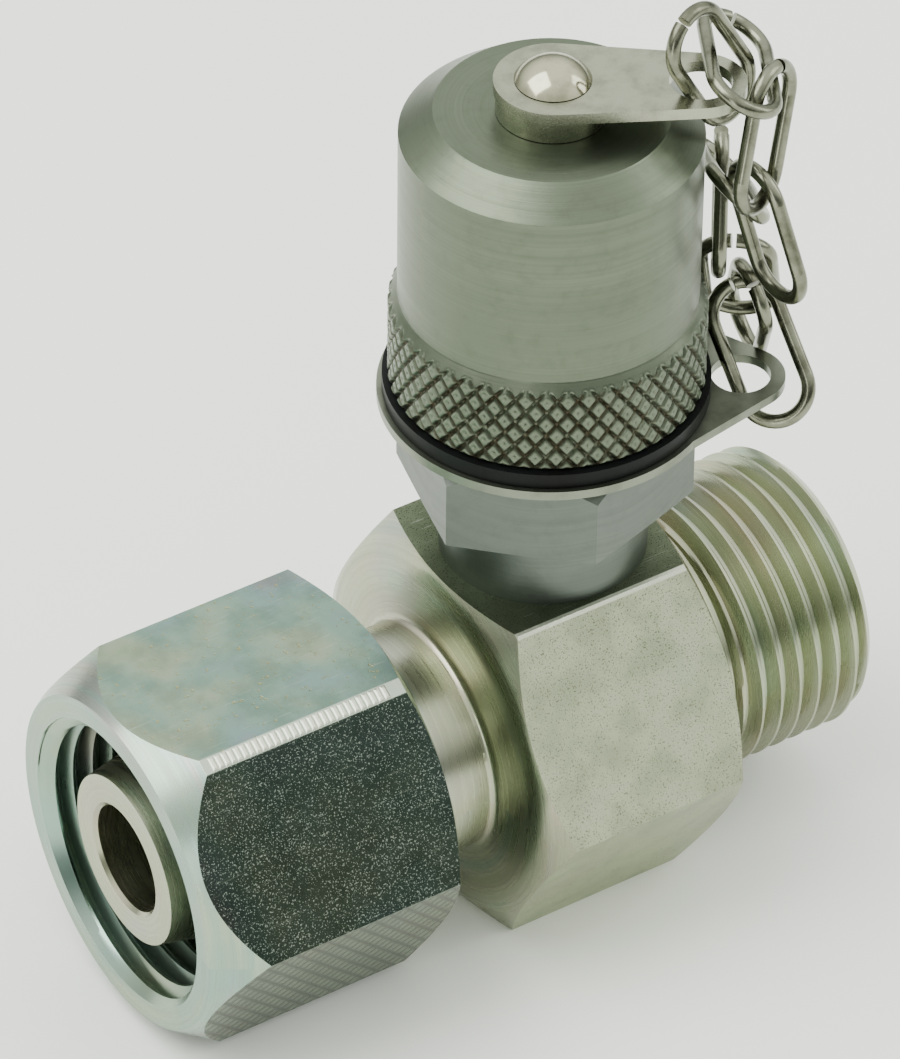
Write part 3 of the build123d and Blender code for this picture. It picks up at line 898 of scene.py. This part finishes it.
@dataclass
class SwivelNut:
    """Swivel nut with its thread and the ribbed corner."""

    across_flats: float = 24.0
    turn: float = -1.4
    mouth: float = 10.1
    minor: float = 9.2
    root: float = 10.05
    thread_length: float = 11.0
    pitch: float = 1.5
    rib_cut: float = 0.31
    rib_pitch: float = 0.46
    rib_height: float = 0.08
    rib_margin: float = 0.5

    def build(self) -> bpy.types.Object:
        """Copies the nut, cuts its thread and adds the ribs.

        Returns:
            The finished nut.
        """
        low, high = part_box("swivel_nut")
        front = low.x / MM
        thread_end = front + self.thread_length

        def is_bore(centre: Vector, normal: Vector) -> bool:
            """Faces of the plain threaded bore and its mouth chamfer."""
            radius = math.hypot(centre.y, centre.z)
            inside = centre.x < thread_end - EDGE and radius < self.mouth - EDGE
            return inside and abs(normal.x) < END_FACE

        def turned(x: float) -> float:
            """Radius of the bore before threading."""
            return max(self.minor, self.mouth - (x - front))

        nut = copy_without("swivel_nut", "swivel_nut_threaded", is_bore)
        thread = HelicalThread(front, thread_end, self.minor, self.root, self.pitch, inside=True)
        skin = mesh_object("nut_thread_skin", *thread.build(turned))
        weld(skin)
        join(nut, skin)
        self._flatten_corner(nut)
        ribs = self._ribs(front, high.x / MM)
        join(nut, ribs)
        shade_smooth(nut.data, 24.0)
        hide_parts("swivel_nut")
        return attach(nut, "nut")

    def _corner(self) -> Tuple[Vector, Vector, float]:
        """Radial and sideways directions of the ribbed corner, and its flattened radius."""
        angle = math.radians(120.0 + self.turn)
        radial = Vector((0.0, math.cos(angle), math.sin(angle)))
        side = Vector((0.0, -math.sin(angle), math.cos(angle)))
        return radial, side, self.across_flats / math.sqrt(3) - self.rib_cut

    def _flatten_corner(self, nut: bpy.types.Object) -> None:
        """Cuts the ribbed corner flat.

        Args:
            nut: the nut's object.
        """
        radial, _, radius = self._corner()
        bm = bmesh.new()
        bm.from_mesh(nut.data)
        cut = bmesh.ops.bisect_plane(
            bm, geom=bm.verts[:] + bm.edges[:] + bm.faces[:], plane_co=radial * radius * MM,
            plane_no=radial, clear_outer=True)
        edges = [e for e in cut["geom_cut"] if isinstance(e, bmesh.types.BMEdge)]
        bmesh.ops.contextual_create(bm, geom=edges)
        bm.to_mesh(nut.data)
        bm.free()

    def _ribs(self, front: float, rear: float) -> bpy.types.Object:
        """Small ribs across the flattened corner.

        Args:
            front: x of the nut's front.
            rear: x of its rear.

        Returns:
            The ribs.
        """
        radial, side, radius = self._corner()
        half = self.rib_cut * math.sqrt(3)
        first = front + 3.6
        count = int((rear - self.rib_margin - 0.9 - first) / self.rib_pitch)
        vertices, faces = [], []
        for index in range(count):
            x = first + index * self.rib_pitch
            base = len(vertices)
            for across in (-half, half):
                for shift, lift in ((-0.5, -0.02), (-0.2, self.rib_height), (0.2, self.rib_height),
                                    (0.5, -0.02)):
                    lean = 0.6 if lift > 0 else 1.0
                    spot = radial * (radius + lift) + side * across * lean
                    vertices.append((spot + Vector((x + shift * self.rib_pitch, 0, 0))) * MM)
            faces += [(base + k, base + k + 1, base + k + 5, base + k + 4) for k in range(3)]
            faces += [(base + 3, base + 2, base + 1, base),
                      (base + 4, base + 5, base + 6, base + 7)]
            faces.append((base, base + 4, base + 7, base + 3))
        return mesh_object("nut_ribs", vertices, faces)


@dataclass
class TestPoint:
    """Test point with its hexagon over a round neck."""

    across_flats: float = 17.0
    turn: float = 46.5
    low: float = 12.95
    neck_radius: float = 6.85
    hexagon_low: float = 18.3
    hexagon_high: float = 25.2
    top_radius: float = 8.0
    under_chamfer: float = 0.2
    skin: float = 1.0
    sides: int = 120

    def build(self) -> bpy.types.Object:
        """Copies the turned inner form and gives it the hexagon.

        Returns:
            The finished test point.
        """
        def is_outside(centre: Vector, normal: Vector) -> bool:
            """Outer faces between the body and the spigot."""
            radius = math.hypot(centre.x, centre.y)
            level = self.low < centre.z < self.hexagon_high + EDGE
            return level and radius > self.neck_radius - self.skin

        point = copy_without("test_point", "test_point_hexagon", is_outside)
        shell = self._shell()
        join(point, shell)
        shade_smooth(point.data)
        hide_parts("test_point")
        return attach(point, "fitting")

    def _shell(self) -> bpy.types.Object:
        """Turned outer form, cut by the six flats.

        Returns:
            The outer form.
        """
        corner = self.across_flats / math.sqrt(3)
        profile = (
            (self.neck_radius, self.low), (self.neck_radius, self.hexagon_low),
            (corner + 0.1, self.hexagon_low + self.under_chamfer),
            (corner + 0.1, self.hexagon_high - (corner + 0.1 - self.top_radius)),
            (self.top_radius, self.hexagon_high), (self.neck_radius, self.hexagon_high))
        vertices, faces = [], []
        for side in range(self.sides):
            angle = 2 * math.pi * side / self.sides
            vertices += [Vector((r * math.cos(angle), r * math.sin(angle), z)) * MM for r,
                         z in profile]
        row = len(profile)
        for side in range(self.sides):
            a, b = side * row, (side + 1) % self.sides * row
            faces += [(a + k, b + k, b + k + 1, a + k + 1) for k in range(row - 1)]
        shell = mesh_object("hexagon_shell", vertices, faces)
        bm = bmesh.new()
        bm.from_mesh(shell.data)
        for flat in range(6):
            angle = math.radians(self.turn + 60.0 * flat)
            outward = Vector((math.cos(angle), math.sin(angle), 0.0))
            cut = bmesh.ops.bisect_plane(
                bm, geom=bm.verts[:] + bm.edges[:] + bm.faces[:],
                plane_co=outward * self.across_flats / 2 * MM, plane_no=outward, clear_outer=True)
            edges = [e for e in cut["geom_cut"] if isinstance(e, bmesh.types.BMEdge)]
            bmesh.ops.contextual_create(bm, geom=edges)
        bm.to_mesh(shell.data)
        bm.free()
        return shell


@dataclass
class Cap:
    """Cap with its knurled band."""

    wall_radius: float = 9.65
    knurl_radius: float = 10.25
    band_height: float = 6.7
    columns: int = 48
    repeat: float = 1.82
    depth: float = 0.27
    pit: float = 0.12
    top_chamfer: float = 0.85
    low_chamfer: float = 0.22
    skirt: float = 0.7
    steps: int = 16
    rows: int = 72

    def build(self) -> bpy.types.Object:
        """Copies the cap and rolls the knurl.

        Returns:
            The finished cap.
        """
        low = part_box("cap")[0].z / MM
        top = low + self.band_height

        def is_band(centre: Vector, normal: Vector) -> bool:
            """Faces of the plain band and of the cap's underside."""
            radius = math.hypot(centre.x, centre.y)
            under = normal.z < -END_FACE and centre.z < low + EDGE
            return under or (centre.z < top + EDGE and radius > self.wall_radius + 2 * EDGE)

        cap = copy_without("cap", "cap_knurled", is_band)
        foot = [v.co for v in cap.data.vertices if v.co.z / MM < low + EDGE]
        radii = [math.hypot(co.x, co.y) / MM for co in foot]
        mouth = max(radius for radius in radii if radius < self.wall_radius - self.skirt)
        join(cap, self._band(low, top, mouth))
        shade_smooth(cap.data, 38.0)
        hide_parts("cap")
        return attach(cap, "cap")

    def _radius(self, around: float, height: float) -> float:
        """Radius of the knurl.

        Args:
            around: place around the band, in diamonds.
            height: height over the band's lower end, in millimetres.

        Returns:
            The radius in millimetres.
        """
        up = height / self.repeat
        first, second = (around + up) % 1.0, (around - up) % 1.0
        near = min(first, 1.0 - first, second, 1.0 - second)
        share = min(max((near - 0.04) / 0.15, 0.0), 1.0)
        radius = self.knurl_radius - self.depth * (1.0 - share)
        centre = math.hypot(first - 0.5, second - 0.5)
        if centre < 0.13:
            radius -= self.pit * (1.0 - centre / 0.13)
        above = self.band_height - height
        slope = (self.knurl_radius - self.wall_radius) / self.top_chamfer
        return min(radius, self.wall_radius + above * slope,
                   self.knurl_radius - self.low_chamfer + height)

    def _band(self, low: float, top: float, mouth: float) -> bpy.types.Object:
        """Builds the band and the cap's underside.

        Args:
            low: height of the band's lower end.
            top: height of its upper end.
            mouth: radius of the hole in the underside.

        Returns:
            The band.
        """
        count = self.columns * self.steps
        vertices, faces = [], []
        for side in range(count):
            angle = 2 * math.pi * side / count
            c, s = math.cos(angle), math.sin(angle)
            vertices.append(Vector((mouth * c, mouth * s, low)) * MM)
            for step in range(self.rows + 1):
                height = self.band_height * step / self.rows
                radius = self._radius(side / self.steps, height)
                vertices.append(Vector((radius * c, radius * s, low + height)) * MM)
            tuck = self.wall_radius - 0.02
            vertices.append(Vector((tuck * c, tuck * s, top + 0.05)) * MM)
        row = self.rows + 3
        for side in range(count):
            a, b = side * row, (side + 1) % count * row
            faces += [(a + k, b + k, b + k + 1, a + k + 1) for k in range(row - 1)]
        return mesh_object("knurl_band", vertices, faces)


@dataclass
class Studio:
    """Floor, lights and camera."""

    lens: float = 243.04
    camera_place: Color = (-0.200381, -0.296007, 0.315713)
    back: Color = (-0.41722, -0.63952, 0.64571)
    azimuth: float = -33.12
    roll: float = 0.655
    floor_size: float = 6.0

    def build(self) -> None:
        """Places the stage, the lights and the camera."""
        self._floor()
        self._world()
        self._light("key_softbox", (-0.28, 0.10, 0.50), (0.0, 0.0, 0.02), (0.45, 0.45), 3.0)
        self._light("right_softbox", (0.42, -0.16, 0.26), (0.0, 0.0, 0.02), (0.20, 0.40), 0.7)
        self._light("left_strip", (-0.36, -0.30, 0.10), (0.0, 0.0, 0.02), (0.10, 0.30), 0.4)
        self._camera()

    def _floor(self) -> None:
        """Pale floor just under the part."""
        level = CAD_BOX[0][2]
        half = self.floor_size / 2
        floor = mesh_object("floor", [Vector((x, y, level)) for x, y in
                                      ((-half, -half), (half, -half), (half, half), (-half, half))],
                                      [(0, 1, 2, 3)])
        material = bpy.data.materials.new("pale_floor")
        material.use_nodes = True
        shader = material.node_tree.nodes["Principled BSDF"]
        shader.inputs["Base Color"].default_value = (0.96, 0.975, 0.94, 1.0)
        shader.inputs["Roughness"].default_value = 0.9
        shader.inputs["Specular IOR Level"].default_value = 0.1
        floor.data.materials.append(material)

    def _world(self) -> None:
        """Bright ceiling that falls off towards the horizon."""
        world = bpy.data.worlds.new("studio")
        bpy.context.scene.world = world
        world.use_nodes = True
        g = Graph(world.node_tree)
        background = world.node_tree.nodes["Background"]
        place = g.add("ShaderNodeTexCoord").outputs["Generated"]
        height = g.step(g.add("ShaderNodeSeparateXYZ", (place,)).outputs["Z"], -0.1, 0.75)
        front = g.add("ShaderNodeVectorMath", (place, (-0.546, -0.837, 0.0)),
                      operation="DOT_PRODUCT").outputs["Value"]
        dark = g.step(front, 0.25, 0.85)
        level = g.math("SUBTRACT", height, g.math("MULTIPLY", dark, 0.5), clamp=True)
        color = g.ramp(level,
                       [(0.0, (0.10, 0.11, 0.10)), (0.35, (0.55, 0.58, 0.53)),
                        (1.0, (1.0, 1.03, 0.97))])
        g.put(background.inputs["Color"], color)
        background.inputs["Strength"].default_value = 1.9

    @staticmethod
    def _light(name: str, place: Color, target: Color, size: Tuple[float, float],
               power: float) -> None:
        """Adds a rectangular softbox.

        Args:
            name: its name.
            place: where it hangs.
            target: what it points at.
            size: width and height.
            power: watts.
        """
        data = bpy.data.lights.new(name, "AREA")
        data.shape = "RECTANGLE"
        data.size, data.size_y = size
        data.energy = power
        data.color = (1.0, 1.0, 0.97)
        lamp = bpy.data.objects.new(name, data)
        lamp.location = place
        aim = Vector(target) - Vector(place)
        lamp.rotation_euler = aim.to_track_quat("-Z", "Y").to_euler()
        bpy.context.scene.collection.objects.link(lamp)

    def _camera(self) -> None:
        """Adds the camera."""
        data = bpy.data.cameras.new("camera")
        data.lens = self.lens
        data.sensor_width = 36.0
        data.clip_start = 0.01
        camera = bpy.data.objects.new("camera", data)
        back = Vector(self.back).normalized()
        level = Vector((math.cos(math.radians(self.azimuth)), math.sin(math.radians(self.azimuth)),
                        0.0))
        up = back.cross(level)
        roll = math.radians(self.roll)
        right = level * math.cos(roll) + up * math.sin(roll)
        over = up * math.cos(roll) - level * math.sin(roll)
        camera.matrix_world = Matrix((
            (right.x, over.x, back.x, self.camera_place[0]),
            (right.y, over.y, back.y, self.camera_place[1]),
            (right.z, over.z, back.z, self.camera_place[2]),
            (0.0, 0.0, 0.0, 1.0)))
        bpy.context.scene.collection.objects.link(camera)
        bpy.context.scene.camera = camera


@dataclass
class Finishes:
    """Every material of the part, by the name of the node that wears it."""

    effects: Effects

    def build(self) -> dict:
        """Makes the materials.

        Returns:
            Materials and slots by CAD node.
        """
        e = self.effects
        cap_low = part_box("cap")[0].z / MM
        satin = TurnedFinish(
            "cap_satin", (0.145, 0.17, 0.125), (0.075, 0.09, 0.062), 0.34,
            # the groove colour is painted shade in the knurl's recesses
            groove_shade=(0.06, 0.052, 0.032),
            groove_low=cap_low, groove_high=cap_low + KNURL_CLEAR, knurl_floor=10.0,
            knurl_top=10.22).make(e)
        collar = TurnedFinish(
            "test_point_plating", (0.15, 0.168, 0.148), (0.09, 0.104, 0.094), 0.42,
            shade=(0.10, 0.115, 0.105),
            shade_low=BODY_FLAT, shade_high=TestPoint.hexagon_low).make(e)
        strap = PlainFinish("strap_steel", (0.34, 0.35, 0.27), (0.22, 0.23, 0.175), 1.0,
                            0.28).make(e)
        ring = PlainFinish("ring_steel", (0.20, 0.22, 0.175), (0.12, 0.13, 0.10), 1.0, 0.34,
                           cloud=0.25).make(e)
        rivet = PlainFinish("rivet_nickel", (0.44, 0.43, 0.31), (0.28, 0.27, 0.19), 1.0, 0.13,
                            relief=0.001).make(e)
        chain = PlainFinish("chain_nickel", (0.21, 0.215, 0.16), (0.11, 0.11, 0.08), 1.0, 0.24,
                            cloud=0.5).make(e)
        wire = PlainFinish("spring_wire", (0.25, 0.25, 0.24), (0.17, 0.17, 0.16), 1.0, 0.3).make(e)
        rubber = PlainFinish("nitrile_rubber", (0.004, 0.005, 0.005), (0.003, 0.003, 0.003), 0.0,
                             0.42, grain=9.0,
                             specular=0.12).make(e)
        body = ZincFinish(
            "body_zinc", -10.0, 9.0, (
                Flat(90.0, (0.13, 0.155, 0.105), (0.012, 0.014, 0.008), 0.42, 0.40, 0.15),
                Flat(150.0, (0.56, 0.60, 0.44), (0.10, 0.11, 0.06), 0.42, 0.44, 0.12),
                Flat(210.0, (0.40, 0.45, 0.29), (0.20, 0.22, 0.13), 0.2, 0.26, 0.4),
                Flat(270.0, (0.34, 0.37, 0.26), (0.15, 0.16, 0.10), 0.3),
                Flat(330.0, (0.34, 0.37, 0.26), (0.15, 0.16, 0.10), 0.3),
                Flat(30.0, (0.34, 0.37, 0.26), (0.15, 0.16, 0.10), 0.3)),
            film_shift=0.05, turned_tint=(0.40, 0.45, 0.37), flat_radius=BODY_FLAT,
            corner_highlight_width=0.16).make(e)
        nut = ZincFinish(
            "nut_zinc", -34.0, -14.0, (
                Flat(88.6, (0.33, 0.38, 0.36), (0.34, 0.32, 0.15), 0.12, 0.28, 0.75, grain=2.6),
                # Painted reflection: this flat's dark colour stands in for the dark surroundings
                # that it mirrors; its light specks are the plating's own.
                Flat(148.6, (0.085, 0.105, 0.092), (0.30, 0.33, 0.29), 0.30, 0.21, 0.5),
                Flat(208.6, (0.25, 0.29, 0.21), (0.10, 0.10, 0.07), 0.3, 0.30, 0.3, dimples=0.85),
                Flat(268.6, (0.22, 0.26, 0.22), (0.12, 0.12, 0.08), 0.3),
                Flat(328.6, (0.22, 0.26, 0.22), (0.12, 0.12, 0.08), 0.3),
                Flat(28.6, (0.22, 0.26, 0.22), (0.12, 0.12, 0.08), 0.3)),
            film_shift=0.42, turned_tint=(0.30, 0.41, 0.35), flat_radius=NUT_FLAT, corner=118.6,
            corner_highlight_width=0.36).make(e)
        worn = {
            "body": (body, Slot.ZINC), "swivel_nut": (nut, Slot.ZINC),
            "nut_wire_ring": (wire, Slot.SPRING),
            "cone_seal": (rubber, Slot.RUBBER), "test_point": (collar, Slot.PLATED),
            "port_seal": (rubber, Slot.RUBBER),
            "probe_seal": (rubber, Slot.RUBBER), "spring_seat": (collar, Slot.PLATED),
            "valve_poppet": (collar, Slot.PLATED), "poppet_seal": (rubber, Slot.RUBBER),
            "valve_spring": (wire, Slot.SPRING), "retaining_ring": (ring, Slot.PLATED),
            "dust_ring": (rubber, Slot.RUBBER), "cap": (satin, Slot.SATIN),
            "cap_seal": (rubber, Slot.RUBBER),
            "rivet": (rivet, Slot.NICKEL), "strap_spacer": (strap, Slot.SATIN),
            "strap": (strap, Slot.SATIN)}
        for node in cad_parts:
            if node.startswith("chain_link"):
                worn[node] = (chain, Slot.CHAIN)
        return worn


def main() -> None:
    """Builds the sub-assemblies in order."""
    logging.basicConfig(level=logging.INFO, format="%(message)s")
    worn = Finishes(Effects()).build()
    rebuilt = {"body": Fitting().build(), "swivel_nut": SwivelNut().build(),
               "test_point": TestPoint().build(), "cap": Cap().build()}
    for node, (material, slot) in worn.items():
        obj = rebuilt.get(node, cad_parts[node])
        dress(obj, material)
    Studio().build()
    LOG.info("sizes written")


if __name__ == "__main__":
    main()
